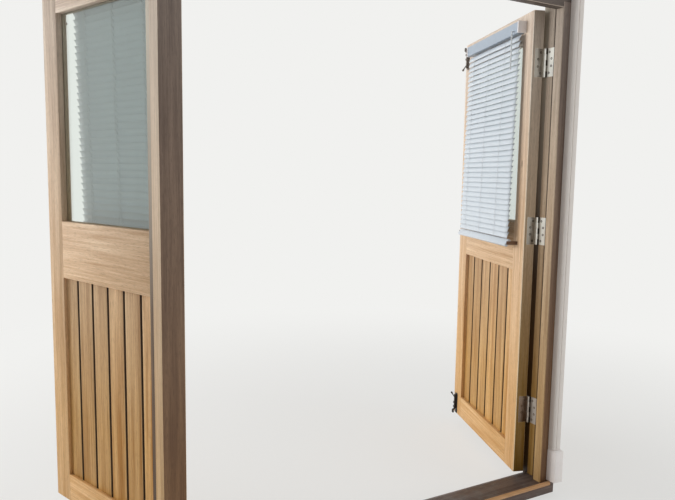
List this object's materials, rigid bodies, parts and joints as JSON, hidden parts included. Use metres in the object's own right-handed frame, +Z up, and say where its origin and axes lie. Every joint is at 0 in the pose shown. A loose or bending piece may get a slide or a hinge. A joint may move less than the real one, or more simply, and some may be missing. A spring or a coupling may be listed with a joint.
{
  "type": "double door set of a small timber hut",
  "caption": "Pair of outward-opening half-glazed oak doors on butt hinges in a rebated frame with sill, with boarded lower panels, venetian blinds and shoot bolts.",
  "frame": {"origin": "on the sill's underside, midway along it, under the outer face of the closed doors", "axes": "+Z up, +X along the wall to the right as seen from inside, +Y outdoors"},
  "size_m": [1.8388, 0.7948, 1.837],
  "materials": {
    "frame_oak": "oiled oak",
    "door_oak": "oiled oak",
    "board_oak": "oiled oak",
    "dark_oak": "dark worn oak",
    "seal_foam": "brown compressible seal",
    "bead_oak": "oiled oak",
    "trim_paint": "off-white eggshell paint",
    "window_glass": "clear",
    "hinge_steel": "satin",
    "bolt_iron": "black",
    "blind_enamel": "satin",
    "wand_acrylic": "clear"
  },
  "bodies": {
    "frame": {"sill": "dark_oak", "head": "frame_oak", "right_jamb": "frame_oak", "left_jamb": "frame_oak", "weather_seal": "seal_foam", "outer_trim": "dark_oak", "floor_bead": "bead_oak", "right_trim": "trim_paint", "right_plinth_block": "trim_paint", "right_frame_hinges": "hinge_steel", "left_frame_hinges": "hinge_steel"},
    "right_door": {"right_hinge_stile": "door_oak", "right_meeting_stile": "door_oak", "right_top_rail": "door_oak", "right_lock_rail": "door_oak", "right_bottom_rail": "door_oak", "right_boards": "board_oak", "right_glass": "window_glass", "right_glazing_bead": "door_oak", "right_door_hinges": "hinge_steel", "right_bottom_bolt_case": "bolt_iron", "right_top_bolt_case": "bolt_iron", "right_blind_headrail": "blind_enamel", "right_blind_slats": "blind_enamel", "right_blind_bottom_rail": "blind_enamel", "right_blind_wand": "wand_acrylic"},
    "right_bottom_bolt": {"right_bottom_bolt_rod": "bolt_iron"},
    "right_top_bolt": {"right_top_bolt_rod": "bolt_iron"},
    "left_door": {"left_hinge_stile": "door_oak", "left_meeting_stile": "door_oak", "left_top_rail": "door_oak", "left_lock_rail": "door_oak", "left_bottom_rail": "door_oak", "left_boards": "board_oak", "left_glass": "window_glass", "left_glazing_bead": "door_oak", "left_door_hinges": "hinge_steel", "left_bottom_bolt_case": "bolt_iron", "left_top_bolt_case": "bolt_iron", "left_blind_headrail": "blind_enamel", "left_blind_slats": "blind_enamel", "left_blind_bottom_rail": "blind_enamel", "left_blind_wand": "wand_acrylic"},
    "left_bottom_bolt": {"left_bottom_bolt_rod": "bolt_iron"},
    "left_top_bolt": {"left_top_bolt_rod": "bolt_iron"}
  },
  "joints": [
    {"name": "right_door_hinge", "type": "hinge", "parent": "frame", "child": "right_door", "pos_m": [0.692, 0.0075, 0.05], "axis": [0, 0, -1], "range_deg": [-110, 10]},
    {"name": "right_bottom_bolt_slide", "type": "slide", "parent": "right_door", "child": "right_bottom_bolt", "axis": [0, 0, -1], "range_m": [0, 0.016]},
    {"name": "right_top_bolt_slide", "type": "slide", "parent": "right_door", "child": "right_top_bolt", "axis": [0, 0, 1], "range_m": [0, 0.016]},
    {"name": "left_door_hinge", "type": "hinge", "parent": "frame", "child": "left_door", "pos_m": [-0.692, 0.0075, 0.05], "axis": [0, 0, 1], "range_deg": [-110, 10]},
    {"name": "left_bottom_bolt_slide", "type": "slide", "parent": "left_door", "child": "left_bottom_bolt", "axis": [0, 0, -1], "range_m": [0, 0.016]},
    {"name": "left_top_bolt_slide", "type": "slide", "parent": "left_door", "child": "left_top_bolt", "axis": [0, 0, 1], "range_m": [0, 0.016]}
  ]
}
